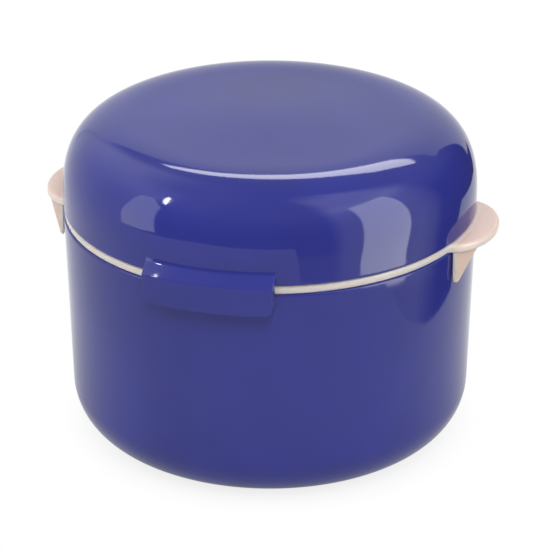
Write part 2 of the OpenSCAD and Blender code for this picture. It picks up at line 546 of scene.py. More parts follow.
class NodeSheet:
    """A node tree while it is being laid out, with short calls for its nodes and links."""

    def __init__(self, tree: bpy.types.NodeTree) -> None:
        """Works on a tree."""
        self.tree = tree

    def add(self, kind: str, **settings: object) -> bpy.types.Node:
        """Adds a node.

        Args:
            kind: the node's type.
            **settings: values of its properties.

        Returns:
            The node.
        """
        node = self.tree.nodes.new(kind)
        for name, value in settings.items():
            setattr(node, name, value)
        return node

    def put(self, socket: bpy.types.NodeSocket, value: object) -> None:
        """Feeds a socket.

        Args:
            socket: the socket to feed.
            value: a signal or another node's socket to link, or a plain value to set.
        """
        if isinstance(value, Signal):
            value = value.socket
        if isinstance(value, bpy.types.NodeSocket):
            self.tree.links.new(value, socket)
        else:
            socket.default_value = value

    def feed(self, node: bpy.types.Node, **values: object) -> bpy.types.Node:
        """Feeds several sockets of a node.

        Args:
            node: the node.
            **values: what each socket gets, by name with underscores for spaces.

        Returns:
            The same node.
        """
        for name, value in values.items():
            self.put(node.inputs[name.replace("_", " ")], value)
        return node

    def math(self, operation: str, *values: object, clamp: bool = False) -> Signal:
        """Adds a Math node.

        Args:
            operation: the node's operation.
            *values: its values or signals, in order.
            clamp: whether the result is kept from 0 to 1.

        Returns:
            The node's result.
        """
        node = self.add("ShaderNodeMath", operation=operation, use_clamp=clamp)
        for socket, value in zip(node.inputs, values):
            self.put(socket, value)
        return Signal(self, node.outputs[0])

    def vector_math(self, operation: str, *values: object) -> bpy.types.Node:
        """Adds a Vector Math node.

        Args:
            operation: the node's operation.
            *values: its vectors or sockets, in order.

        Returns:
            The node.
        """
        node = self.add("ShaderNodeVectorMath", operation=operation)
        for socket, value in zip(node.inputs, values):
            self.put(socket, value)
        return node

    def split(self, vector: bpy.types.NodeSocket) -> list[Signal]:
        """Splits a vector into its three parts."""
        node = self.feed(self.add("ShaderNodeSeparateXYZ"), Vector=vector)
        return [Signal(self, socket) for socket in node.outputs]

    def vector(self, *parts: object) -> bpy.types.NodeSocket:
        """Joins three values or signals into a vector.

        Args:
            *parts: the parts along X, Y and Z.

        Returns:
            The vector's socket.
        """
        node = self.add("ShaderNodeCombineXYZ")
        for socket, value in zip(node.inputs, parts):
            self.put(socket, value)
        return node.outputs[0]

    def ramp(self, value: object, span: Point, levels: Point, smooth_ends: bool = True) -> Signal:
        """Maps a value from one span to another and keeps it there.

        Args:
            value: the value.
            span: where the change starts and ends.
            levels: the results there.
            smooth_ends: whether the change starts and ends gently, or runs straight.

        Returns:
            The mapped value.
        """
        kind = "SMOOTHSTEP" if smooth_ends else "LINEAR"
        node = self.add("ShaderNodeMapRange", interpolation_type=kind)
        self.feed(node, Value=value, From_Min=span[0], From_Max=span[1], To_Min=levels[0],
                  To_Max=levels[1])
        return Signal(self, node.outputs["Result"])

    def window(self, value: object, limits: Point, soft: float) -> Signal:
        """Gives 1 between two limits and 0 beyond them.

        Args:
            value: the value that the limits are for.
            limits: the lower and the upper limit.
            soft: how far the change reaches to either side of a limit.

        Returns:
            The share.
        """
        low, high = limits
        return (self.ramp(value, (low - soft, low + soft), (0, 1))
                * self.ramp(value, (high - soft, high + soft), (1, 0)))

    def object_place(self) -> bpy.types.NodeSocket:
        """Adds a point's place on Object coordinates."""
        return self.add("ShaderNodeTexCoord").outputs["Object"]

    def ray(self, kind: str) -> Signal:
        """Adds a value of 1 for rays of one kind, such as Is Camera Ray, and 0 for others."""
        return Signal(self, self.add("ShaderNodeLightPath").outputs[kind])

    def seen(self) -> Signal:
        """Adds a value of 1 for rays of the camera, of gloss and of glass, and 0 for others."""
        return self.math("ADD", self.ray("Is Camera Ray") + self.ray("Is Glossy Ray"),
                         self.ray("Is Transmission Ray"), clamp=True)


class GeometrySheet(NodeSheet):
    """A Geometry Nodes tree with named inputs and one geometry output."""

    def __init__(self, name: str) -> None:
        """Starts an empty tree.

        Args:
            name: the tree's name.
        """
        super().__init__(bpy.data.node_groups.new(name, "GeometryNodeTree"))
        self.tree.interface.new_socket("Geometry", in_out="OUTPUT",
                                       socket_type="NodeSocketGeometry")
        self.source = self.add("NodeGroupInput")

    def take(self, kind: str, *names: str) -> list[Signal]:
        """Adds named inputs of one kind.

        Args:
            kind: their type, such as Float, Int, Geometry, Material or Object.
            *names: their names.

        Returns:
            Their values inside the tree.
        """
        for name in names:
            self.tree.interface.new_socket(name, in_out="INPUT", socket_type=f"NodeSocket{kind}")
        return [Signal(self, self.source.outputs[name]) for name in names]

    def end(self, geometry: bpy.types.NodeSocket) -> bpy.types.NodeTree:
        """Links the tree's output and returns the tree."""
        self.put(self.add("NodeGroupOutput").inputs[0], geometry)
        return self.tree

    def weld(self, geometry: bpy.types.NodeSocket) -> bpy.types.NodeSocket:
        """Merges points that lie on each other."""
        node = self.add("GeometryNodeMergeByDistance")
        return self.feed(node, Geometry=geometry, Distance=WELD).outputs["Geometry"]

    def paint(self, geometry: bpy.types.NodeSocket, material: Signal, selection: object = True
              ) -> bpy.types.NodeSocket:
        """Gives faces a material.

        Args:
            geometry: the geometry.
            material: the material.
            selection: which faces get it.

        Returns:
            The painted geometry.
        """
        node = self.feed(self.add("GeometryNodeSetMaterial"), Geometry=geometry,
                         Material=material, Selection=selection)
        return node.outputs["Geometry"]

    def index(self) -> Signal:
        """Adds the number of each element."""
        return Signal(self, self.add("GeometryNodeInputIndex").outputs[0])

    def column_of(self, length: object) -> tuple[Signal, Signal]:
        """Splits an element's number into its column and its place there.

        Args:
            length: the elements of a column.

        Returns:
            The column's number, and the element's number in it.
        """
        # A quarter more keeps the quotient of whole numbers off the step below
        index, more = self.index(), 0.25
        column = self.math("FLOOR", (index + more) / length)
        return column, index - column * length

    def turned_grid(self, steps_around: Signal, steps_along: object
                    ) -> tuple[bpy.types.NodeSocket, Signal, Signal]:
        """Adds a grid whose columns are carried round the axis.

        Args:
            steps_around: the faces round the axis.
            steps_along: the points along the outline.

        Returns:
            The grid, the angle of a point's column, and its number along the outline.
        """
        grid = self.add("GeometryNodeMeshGrid")
        self.feed(grid, Vertices_X=steps_around + 1.0, Vertices_Y=steps_along)
        column, number = self.column_of(steps_along)
        return grid.outputs["Mesh"], column * (2 * math.pi) / steps_around, number

    def place(self, geometry: bpy.types.NodeSocket, radius: Signal, height: object, angle: Signal
              ) -> bpy.types.NodeSocket:
        """Sets each point from its radius, height and angle, in millimetres and radians.

        Args:
            geometry: the points.
            radius: the distance from the axis.
            height: the height.
            angle: the angle round the axis.

        Returns:
            The placed geometry.
        """
        across = radius * MM
        spot = self.vector(across * self.math("COSINE", angle),
                           across * self.math("SINE", angle), height * MM)
        node = self.feed(self.add("GeometryNodeSetPosition"), Geometry=geometry, Position=spot)
        return node.outputs["Geometry"]


def run_tree(obj: bpy.types.Object, tree: bpy.types.NodeTree, **values: object) -> None:
    """Runs a Geometry Nodes tree on an object and keeps the result as a plain mesh.

    Args:
        obj: the object that the tree works on.
        tree: the tree.
        **values: its inputs, by name with underscores for spaces.
    """
    step = obj.modifiers.new(tree.name, "NODES")
    step.node_group = tree
    sockets = {s.name: s.identifier for s in tree.interface.items_tree if s.in_out == "INPUT"}
    for name, value in values.items():
        step[sockets[name.replace("_", " ")]] = value
    settle(obj)


def lathe_tree() -> bpy.types.NodeTree:
    """Builds the tree that carries an outline round the axis.

    Returns:
        The tree, whose inputs are the outline and the counts and materials of its two sides.
    """
    sheet = GeometrySheet("lathe")
    outline, = sheet.take("Geometry", "Outline")
    around, count, inner_from = sheet.take("Int", "Steps Around", "Outline Points", "Inside From")
    outside, inside = sheet.take("Material", "Outside Material", "Inside Material")
    mesh, angle, number = sheet.turned_grid(around, count)
    sample = sheet.add("GeometryNodeSampleIndex", data_type="FLOAT_VECTOR", domain="POINT")
    sheet.feed(sample, Geometry=outline, Index=number,
               Value=sheet.add("GeometryNodeInputPosition").outputs[0])
    x, _, z = sheet.split(sample.outputs["Value"])
    painted = sheet.paint(sheet.place(mesh, x / MM, z / MM, angle), outside)
    # A column has one face less than it has points
    _, row = sheet.column_of(count - 1.0)
    is_inside = sheet.math("GREATER_THAN", row, inner_from - 0.5)
    return sheet.end(sheet.weld(sheet.paint(painted, inside, is_inside)))


def turn(name: str, points: Sequence[Point], outside: bpy.types.Material,
         inside: bpy.types.Material | None = None, inside_from: int = 100000,
         steps: int = TURN_STEPS) -> bpy.types.Object:
    """Turns an outline of (radius, height) points into a closed shell.

    Args:
        name: the object's name.
        points: the outline, from the axis round its outside and back, or closed on itself.
        outside: the material of the outside.
        inside: the material of the inside, or None for the same.
        inside_from: the number of the first point of the inside.
        steps: the faces round the axis.

    Returns:
        The shell.
    """
    tree = bpy.data.node_groups.get("lathe") or lathe_tree()
    obj = mesh_object(name, [(r, 0, z) for r, z in points])
    run_tree(obj, tree, Steps_Around=steps, Outline_Points=len(points), Inside_From=inside_from,
             Outside_Material=outside, Inside_Material=inside or outside)
    tidy_mesh(obj)
    return obj


def dome_skin_tree() -> bpy.types.NodeTree:
    """Builds the tree of one skin of the lid: skirt, superellipse shoulder and crown.

    Returns:
        The tree, whose inputs are the skin's sizes in millimetres.
    """
    skirt_share, crown_share = 0.07, 0.14
    sheet = GeometrySheet("dome skin")
    side, top_r, foot, skirt, top, power, crown = sheet.take("Float", *DOME_SIZES)
    around, count = sheet.take("Int", *DOME_COUNTS)
    mesh, angle, number = sheet.turned_grid(around, count)
    way = number / (count - 1.0)
    up = sheet.math("DIVIDE", way, skirt_share, clamp=True)
    over = sheet.math("DIVIDE", way - skirt_share, 1 - skirt_share - crown_share, clamp=True)
    # The ease keeps the shoulder's points close together at both of its ends
    eased = (3.0 - over * 2.0) * (over * over)
    lean = eased * (math.pi / 2)
    exponent = 2.0 / power
    out = sheet.math("MAXIMUM", sheet.math("COSINE", lean), 0.0) ** exponent
    rise = sheet.math("MAXIMUM", sheet.math("SINE", lean), 0.0) ** exponent
    in_share = sheet.math("DIVIDE", way - (1 - crown_share), crown_share, clamp=True)
    spread = 1.0 - in_share
    radius = ((side - top_r) * out + top_r) * spread
    bulge = sheet.math("COSINE", spread * (math.pi / 2))
    height = (skirt - foot) * up + foot + (top - skirt) * rise + crown * (bulge * bulge)
    return sheet.end(sheet.place(mesh, radius, height, angle))


def dome_tree() -> bpy.types.NodeTree:
    """Builds the tree of the lid's shell: two skins joined by a rounded edge.

    Returns:
        The tree, whose inputs are the lid's sizes in millimetres and its two materials.
    """
    edge_points, squareness = 13, 5.0
    sheet = GeometrySheet("dome shell")
    sizes = dict(zip(DOME_SIZES, sheet.take("Float", *DOME_SIZES)))
    wall, edge = sheet.take("Float", "Wall", "Edge Rounding")
    counts = dict(zip(DOME_COUNTS, sheet.take("Int", *DOME_COUNTS)))
    outside, inside = sheet.take("Material", "Outside Material", "Inside Material")
    skin = dome_skin_tree()
    side, foot = sizes["Side Radius"], sizes["Foot Height"] + edge

    def skin_group(changed: dict[str, Signal]) -> bpy.types.NodeSocket:
        """Adds one skin of the shell.

        Args:
            changed: the sizes, by name, in which it differs from the shell.

        Returns:
            The skin's socket.
        """
        node = sheet.add("GeometryNodeGroup", node_tree=skin)
        for name, value in {**sizes, **counts, "Foot Height": foot, **changed}.items():
            sheet.put(node.inputs[name], value)
        return node.outputs[0]

    outer = sheet.paint(skin_group({}), outside)
    flip = sheet.feed(sheet.add("GeometryNodeFlipFaces"), Mesh=skin_group(
        {"Side Radius": side - wall, "Top Height": sizes["Top Height"] - wall}))
    inner = sheet.paint(flip.outputs["Mesh"], inside)

    mesh, angle, number = sheet.turned_grid(counts["Steps Around"], edge_points)
    swing = number * (math.pi / (edge_points - 1))
    cosine, sine = sheet.math("COSINE", swing), sheet.math("SINE", swing)
    exponent, half = 2 / squareness, wall / 2.0
    reach = sheet.math("ABSOLUTE", cosine) ** exponent * sheet.math("SIGN", cosine)
    dip = sheet.math("ABSOLUTE", sine) ** exponent
    rim = sheet.paint(sheet.place(mesh, side - half - half * reach, foot - edge * dip, angle),
                      outside)

    join = sheet.add("GeometryNodeJoinGeometry")
    for part in (inner, rim, outer):
        sheet.put(join.inputs[0], part)
    return sheet.end(sheet.weld(join.outputs[0]))


def pattern_tree(name: str, rings: bool) -> bpy.types.NodeTree:
    """Builds a tree that repeats a cutter round the axis.

    Args:
        name: the tree's name.
        rings: whether the cutters fill rings about the middle of a floor, six more in each ring,
            instead of standing once round a wall.

    Returns:
        The tree, whose inputs are the cutter, its count, the pitch and a material.
    """
    sheet = GeometrySheet(name)
    cutter, = sheet.take("Object", "Cutter")
    count, = sheet.take("Int", "Count")
    pitch, = sheet.take("Float", "Pitch")
    material, = sheet.take("Material", "Material")
    points = sheet.feed(sheet.add("GeometryNodePoints"), Count=count)
    index = sheet.index()
    if rings:
        # Ring k starts at number 1 + 3k(k - 1), which solves to k for each number
        root = sheet.math("SQRT", sheet.math("MAXIMUM", index * 12.0 - 3.0, 0.0))
        ring = sheet.math("FLOOR", root * (1 / 6) + (0.5 + 1e-4))
        ring = ring * sheet.math("GREATER_THAN", index, 0.5)
        first = ring * 3.0 * (ring - 1.0) + 1.0
        angle = (index - first) / sheet.math("MAXIMUM", ring, 1.0) * (math.pi / 3)
        reach = ring * pitch
    else:
        angle = (index + 0.5) * (2 * math.pi) / count
        reach = pitch
    spots = sheet.place(points.outputs[0], reach, 0.0, angle)
    info = sheet.feed(sheet.add("GeometryNodeObjectInfo"), Object=cutter)
    copies = sheet.feed(sheet.add("GeometryNodeInstanceOnPoints"), Points=spots,
                        Instance=info.outputs["Geometry"], Rotation=sheet.vector(0.0, 0.0, angle))
    real = sheet.feed(sheet.add("GeometryNodeRealizeInstances"), Geometry=copies.outputs[0])
    return sheet.end(sheet.paint(real.outputs[0], material))


# Finishes


def linear(srgb: float) -> float:
    """Turns a written colour value into the linear value that a shader takes."""
    return srgb / 12.92 if srgb <= 0.04045 else ((srgb + 0.055) / 1.055) ** 2.4


def tinted(colour: Colour, tint: Colour = (1, 1, 1), lift: float = 0.0) -> tuple[float, ...]:
    """Turns a written colour into a shader's colour.

    Args:
        colour: the written colour.
        tint: a factor for each of its values.
        lift: what is added to each.

    Returns:
        The four values of the shader's socket.
    """
    return (*(linear(min(1.0, c * k + lift)) for c, k in zip(colour, tint)), 1.0)


class MaterialSheet(NodeSheet):
    """The node tree of a new material."""

    def __init__(self, name: str) -> None:
        """Starts a material.

        Args:
            name: the material's name.
        """
        self.material = bpy.data.materials.new(name)
        self.material.use_nodes = True
        super().__init__(self.material.node_tree)

    def only(self, shader: bpy.types.NodeSocket) -> bpy.types.Material:
        """Puts another shader in place of the Principled one.

        Args:
            shader: the shader's socket.

        Returns:
            The material.
        """
        self.tree.nodes.remove(self.tree.nodes["Principled BSDF"])
        self.put(self.tree.nodes["Material Output"].inputs["Surface"], shader)
        return self.material

    def glow(self, strength: object) -> bpy.types.Material:
        """Makes the material one that only gives light, of that strength."""
        light = self.feed(self.add("ShaderNodeEmission"), Strength=strength)
        return self.only(light.outputs[0])


class ShaderSheet(MaterialSheet):
    """A material's node tree around one Principled shader, on Object coordinates."""

    def __init__(self, name: str) -> None:
        """Starts a material.

        Args:
            name: the material's name.
        """
        super().__init__(name)
        self.shader = self.tree.nodes["Principled BSDF"]
        self.object = self.object_place()

    def set(self, **values: object) -> None:
        """Sets sockets of the shader, by name with underscores for spaces."""
        self.feed(self.shader, **values)

    def noise(self, scale: float, detail: float = 2.0, roughness: float = 0.5,
              stretch: Sequence[float] = (1, 1, 1), distortion: float = 0.0) -> Signal:
        """Adds a noise on Object coordinates.

        Args:
            scale: its scale, per metre.
            detail: its octaves.
            roughness: the weight of the finer octaves.
            stretch: a factor for each axis.
            distortion: how much it is warped.

        Returns:
            The noise's value.
        """
        place = self.feed(self.add("ShaderNodeMapping"), Vector=self.object, Scale=stretch)
        node = self.feed(self.add("ShaderNodeTexNoise"), Vector=place.outputs[0], Scale=scale,
                         Detail=detail, Roughness=roughness, Distortion=distortion)
        return Signal(self, node.outputs["Fac"])

    def between(self, value: Signal, levels: Point, span: Point = (0.3, 0.7)) -> Signal:
        """Maps a value straight from a span to two levels and keeps it there."""
        return self.ramp(value, span, levels, smooth_ends=False)

    def blend(self, share: Signal, first: object, second: object) -> bpy.types.NodeSocket:
        """Mixes two colours.

        Args:
            share: the share of the second colour.
            first: the first colour.
            second: the second colour.

        Returns:
            The mixed colour's socket.
        """
        node = self.add("ShaderNodeMix", data_type="RGBA")
        colours = [s for s in node.inputs if s.type == "RGBA"]
        for socket, value in zip((node.inputs[0], *colours), (share, first, second)):
            self.put(socket, value)
        return next(s for s in node.outputs if s.type == "RGBA")

    def relief(self, layers: Sequence[tuple[Signal, float]]) -> None:
        """Gives the shader a bump of several layers.

        Args:
            layers: each layer's height and the depth of its relief, in metres.
        """
        below = {}
        for height, depth in layers:
            bump = self.feed(self.add("ShaderNodeBump"), Strength=1.0, Distance=depth,
                             Height=height, **below)
            below = {"Normal": bump.outputs["Normal"]}
        self.set(**below)


@dataclass(frozen=True)
class GlossyPlastic:
    """Dyed plastic from a mould: polished outside, a little duller inside.

    Ripple is the shallow sink of a moulding and peel its fine grain, both as depths in metres.
    """

    name: str
    colour: Colour
    gloss: Point = (0.05, 0.075)
    ripple: float = 8e-6
    peel: float = 6e-7
    deep_tint: Colour = (0.93, 0.93, 0.93)
    pale_tint: Colour = (1.06, 1.06, 1.06)
    pale_lift: float = 0.004
    streak_share: float = 0.18

    def material(self) -> bpy.types.Material:
        """Builds the plastic.

        Returns:
            A material with pigment clouds, smudged gloss and the shallow sink of a moulding.
        """
        sheet = ShaderSheet(self.name)
        deep = tinted(self.colour, self.deep_tint)
        pale = tinted(self.colour, self.pale_tint, self.pale_lift)
        clouds = sheet.noise(26, detail=3, distortion=0.4)
        streaks = sheet.noise(160, detail=4, roughness=0.6, stretch=(1, 1, 0.25))
        mottled = sheet.blend(sheet.between(clouds, (0, 1)), deep, pale)
        colour = sheet.blend(sheet.between(streaks, (0, self.streak_share)), mottled, pale)
        smudge = sheet.noise(45, detail=2)
        sheet.set(Base_Color=colour, Roughness=sheet.between(smudge, self.gloss, span=(0, 1)),
                  IOR=1.5, Specular_IOR_Level=0.35)
        sheet.relief([(sheet.noise(38, detail=1), self.ripple),
                      (sheet.noise(1500, detail=2), self.peel)])
        return sheet.material


@dataclass(frozen=True)
class MilkyPlastic:
    """Undyed plastic that light goes some way into, with a painted shade in its thin ears.

    The ears' faces are painted darker and rosier, as light that passes through thin plastic would
    leave them. They start at a reach from the Z axis, and their upright edge, between two heights,
    is left without the painted shade, as pale as the rest. All lengths are in metres.
    """

    name: str
    colour: Colour
    ear_reach: Point
    ear_edge: Point
    edge_soft: float = 1e-4
    ear_shade_tint: Colour = (0.94, 0.875, 0.87)
    cloud_tint: Colour = (1.015, 0.955, 0.99)
    cloud_share: float = 0.35
    gloss: Point = (0.28, 0.4)
    depth: float = 0.0014
    depth_tint: Colour = (1.0, 0.85, 0.8)
    ripple: float = 8e-6
    grain: float = 1.2e-6

    def material(self) -> bpy.types.Material:
        """Builds the plastic.

        Returns:
            A material with light under its surface, faint clouds, a painted shade in its ears and
            a fine grain.
        """
        sheet = ShaderSheet(self.name)
        clouds = sheet.noise(70, detail=3, distortion=0.5)
        colour = sheet.blend(sheet.between(clouds, (self.cloud_share, 1)),
                             tinted(self.colour), tinted(self.colour, self.cloud_tint))
        x, y, z = sheet.split(sheet.object)
        # Painted shade: the ears' faces turn darker and rosier, all but their upright edge
        edge = sheet.window(z, self.ear_edge, self.edge_soft)
        painted_ear_shade = sheet.ramp((x * x + y * y) ** 0.5, self.ear_reach, (0, 1)) * (1.0 - edge)
        colour = sheet.blend(painted_ear_shade, colour, tinted(self.colour, self.ear_shade_tint))
        wear = sheet.noise(240, detail=4, roughness=0.6)
        sheet.set(Base_Color=colour, Roughness=sheet.between(wear, self.gloss), IOR=1.49,
                  Subsurface_Weight=1.0, Subsurface_Scale=self.depth,
                  Subsurface_Radius=self.depth_tint)
        sheet.relief([(sheet.noise(300, detail=2), self.ripple),
                      (sheet.noise(2600, detail=2), self.grain)])
        return sheet.material


@dataclass(frozen=True)
class DrawnSteel:
    """Wire drawn along X and cropped at its ends, with lines of a depth in metres."""

    name: str
    colour: Colour
    tarnish_tint: Colour = (0.86, 0.86, 0.86)
    gloss: Point = (0.28, 0.4)
    line_depth: float = 4e-6

    def material(self) -> bpy.types.Material:
        """Builds the steel.

        Returns:
            A material with lines along the wire.
        """
        sheet = ShaderSheet(self.name)
        lines = sheet.noise(2600, detail=3, roughness=0.7, stretch=(0.03, 1, 1))
        tarnish = sheet.noise(420, detail=3)
        colour = sheet.blend(sheet.between(tarnish, (0, 1)),
                             tinted(self.colour, self.tarnish_tint), tinted(self.colour))
        sheet.set(Base_Color=colour, Metallic=1.0, Roughness=sheet.between(lines, self.gloss))
        sheet.relief([(lines, self.line_depth)])
        return sheet.material


# Details of the mouldings


def sector(name: str, section: Sequence[Point], half_angle: float, steps: int,
           material: bpy.types.Material) -> bpy.types.Object:
    """Carries a closed section round the front of the case.

    Args:
        name: the object's name.
        section: the section, as (radius, height) points.
        half_angle: the angle to either side of the front, in degrees.
        steps: the steps along the arc.
        material: the solid's material.

    Returns:
        The closed solid.
    """
    loops = []
    for i in range(steps + 1):
        a = math.radians(-90 - half_angle + 2 * half_angle * i / steps)
        loops.append([(r * math.cos(a), r * math.sin(a), z) for r, z in section])
    return loft(name, loops, material)


def prism(name: str, outline: Sequence[Point], thickness: float, place: Matrix,
          material: bpy.types.Material) -> bpy.types.Object:
    """Gives a flat outline a thickness.

    Args:
        name: the object's name.
        outline: the outline's points, in the plane of the first two axes.
        thickness: the thickness along the third axis.
        place: the matrix that puts it in its place, in millimetres.
        material: the solid's material.

    Returns:
        The closed solid.
    """
    loops = [[place @ Vector((x, y, h)) for x, y in outline] for h in (0.0, thickness)]
    return loft(name, loops, material)


def line_circle(a: Point, b: Point, centre: Point, radius: float) -> list[float]:
    """Finds where the line through two points meets a circle.

    Args:
        a: the line's first point.
        b: its second point.
        centre: the circle's centre.
        radius: its radius.

    Returns:
        The angles of both crossings about the centre, in radians, in order from a to b.
    """
    dx, dy = b[0] - a[0], b[1] - a[1]
    fx, fy = a[0] - centre[0], a[1] - centre[1]
    qa, qb, qc = dx * dx + dy * dy, 2 * (fx * dx + fy * dy), fx * fx + fy * fy - radius * radius
    root = math.sqrt(max(0.0, qb * qb - 4 * qa * qc))
    ways = ((-qb - root) / (2 * qa), (-qb + root) / (2 * qa))
    return [math.atan2(a[1] + t * dy - centre[1], a[0] + t * dx - centre[0]) for t in ways]


@dataclass(frozen=True)
class Knuckle:
    """A hinge barrel on the sloping rib that carries it.

    It starts at x0 along X. Its rib runs up, or down where up is -1, from the height edge_z, and
    is sunk into the wall.
    """

    seam: Seam
    hinge: HingeLine
    x0: float
    width: float
    up: int
    edge_z: float
    material: bpy.types.Material
    sunk: float = 0.6
    edge_soft: float = 0.28

    def outline(self) -> list[Point]:
        """Outline of the knuckle seen along X, as (y, z) points.

        Returns:
            The points, round the barrel and back along the rib.
        """
        y, z = self.hinge.centre(self.seam)
        r = self.hinge.barrel_r
        rib_y = math.sqrt(self.seam.case_r ** 2 - self.hinge.pin_half_l ** 2) - self.sunk
        near = (self.seam.case_r + self.hinge.barrel_clear, self.edge_z)
        foot = (rib_y, z + self.up * self.hinge.hinge_rib_h)
        shoulder = (y + r * math.cos(math.pi / 6), z + self.up * r * math.sin(math.pi / 6))
        start = line_circle(near, (y - r / 2, z), (y, z), r)[0]
        end = line_circle(shoulder, foot, (y, z), r)[1]
        # From the gap, round the free side of the barrel, to the rib
        sweep = (end - start) * self.up % (2 * math.pi) * self.up
        return [(rib_y, self.edge_z), near, *arc((y, z), r, start, sweep, BORE_STEPS), foot]

    def build(self) -> bpy.types.Object:
        """Makes the knuckle, with soft edges.

        Returns:
            The closed solid.
        """
        across = Matrix(((0, 0, 1, self.x0), (1, 0, 0, 0), (0, 1, 0, 0), (0, 0, 0, 1)))
        obj = prism("knuckle", self.outline(), self.width, across, self.material)
        soften(obj, self.edge_soft)
        return obj


def hinge_bore(seam: Seam, hinge: HingeLine, material: bpy.types.Material) -> bpy.types.Object:
    """Makes the cutter of the hole through the knuckles.

    Args:
        seam: the seam's sizes.
        hinge: the hinge's sizes.
        material: the material of the hole's wall.

    Returns:
        A cylinder along X on the hinge's axis.
    """
    past = 0.6
    reach = hinge.pin_half_l + past
    obj = turn("bore", [(0, -reach), (hinge.bore_r, -reach), (hinge.bore_r, reach), (0, reach)],
               material, steps=BORE_STEPS)
    lay_along_x(obj, seam, hinge)
    return obj


def lay_along_x(obj: bpy.types.Object, seam: Seam, hinge: HingeLine) -> None:
    """Turns a piece made about Z so that it lies on the hinge's axis.

    Args:
        obj: the piece.
        seam: the seam's sizes.
        hinge: the hinge's sizes.
    """
    y, z = hinge.centre(seam)
    quarter = Matrix.Rotation(math.pi / 2, 4, "Y")
    obj.data.transform(Matrix.Translation((0, y * MM, z * MM)) @ quarter)


# Sub-assemblies


@dataclass
class Cup:
    """The outer bowl, with the catch bead in front and two hinge knuckles at the back."""

    outside: bpy.types.Material
    inside: bpy.types.Material
    seam: Seam = Seam()
    catch: Catch = Catch()
    hinge: HingeLine = HingeLine()
    floor_t: float = 2.0
    base_round: float = 10.8
    rim_round: float = 0.35
    bead_sunk: float = 0.6
    bead_soft: float = 0.12
    longest: float = 3.2

    def outline(self) -> tuple[list[Point], int]:
        """Outline of the bowl, and the number of the first point of its inside.

        Returns:
            The points as (radius, height), from the middle of the base round to the inner floor.
        """
        s = self.seam
        slope = math.tan(math.radians(s.cup_draft))
        outer = [Corner(0, 0), Corner(s.case_r - s.cup_h * slope, 0, self.base_round),
                 Corner(s.case_r, s.cup_h, self.rim_round),
                 Corner(s.cup_in_r, s.cup_h, self.rim_round)]
        foot_r = s.cup_in_r - (s.cup_h - self.floor_t) * slope
        inner = [Corner(foot_r, self.floor_t, self.base_round - s.wall_t),
                 Corner(0, self.floor_t)]
        points = subdivide(round_corners(outer + inner, arc_step=ARC_STEP_DEG / 2), self.longest)
        rim = max(i for i, (_, z) in enumerate(points) if z > s.cup_h - 1e-6)
        return points, rim

    def bead(self) -> bpy.types.Object:
        """Makes the catch bead that the tab's hook snaps under.

        Returns:
            The bead, with its root inside the cup's wall.
        """
        s, c = self.seam, self.catch
        z, r = c.catch_z(s), s.case_r + c.catch_out
        root = s.case_r - self.bead_sunk
        section = [(root, z - c.half_h), (s.case_r, z - c.half_h), (r, z - c.catch_flat / 2),
                   (r, z + c.catch_flat / 2), (s.case_r, z + c.half_h), (root, z + c.half_h)]
        obj = sector("bead", section, c.catch_half_angle, steps=20, material=self.outside)
        soften(obj, self.bead_soft, segments=2)
        return obj

    def build(self) -> bpy.types.Object:
        """Makes the cup.

        Returns:
            The cup as one closed mesh.
        """
        points, rim = self.outline()
        x, w = self.hinge.cup_knuckle_x, self.hinge.cup_knuckle_w
        solids = [self.bead()]
        for x0 in (-x - w, x):
            solids.append(Knuckle(self.seam, self.hinge, x0, w, -1, self.seam.cup_h,
                                  self.outside).build())
        shell = turn("cup_shell", points, self.outside, self.inside, rim)
        bore = hinge_bore(self.seam, self.hinge, self.outside)
        return join(shell, (Cut.ADD, solids), (Cut.REMOVE, [bore]))

    def dress(self, cup: bpy.types.Object) -> None:
        """Puts the cup in its place in the model.

        Args:
            cup: the finished cup.
        """
        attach(cup, "cup")
        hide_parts("cup")


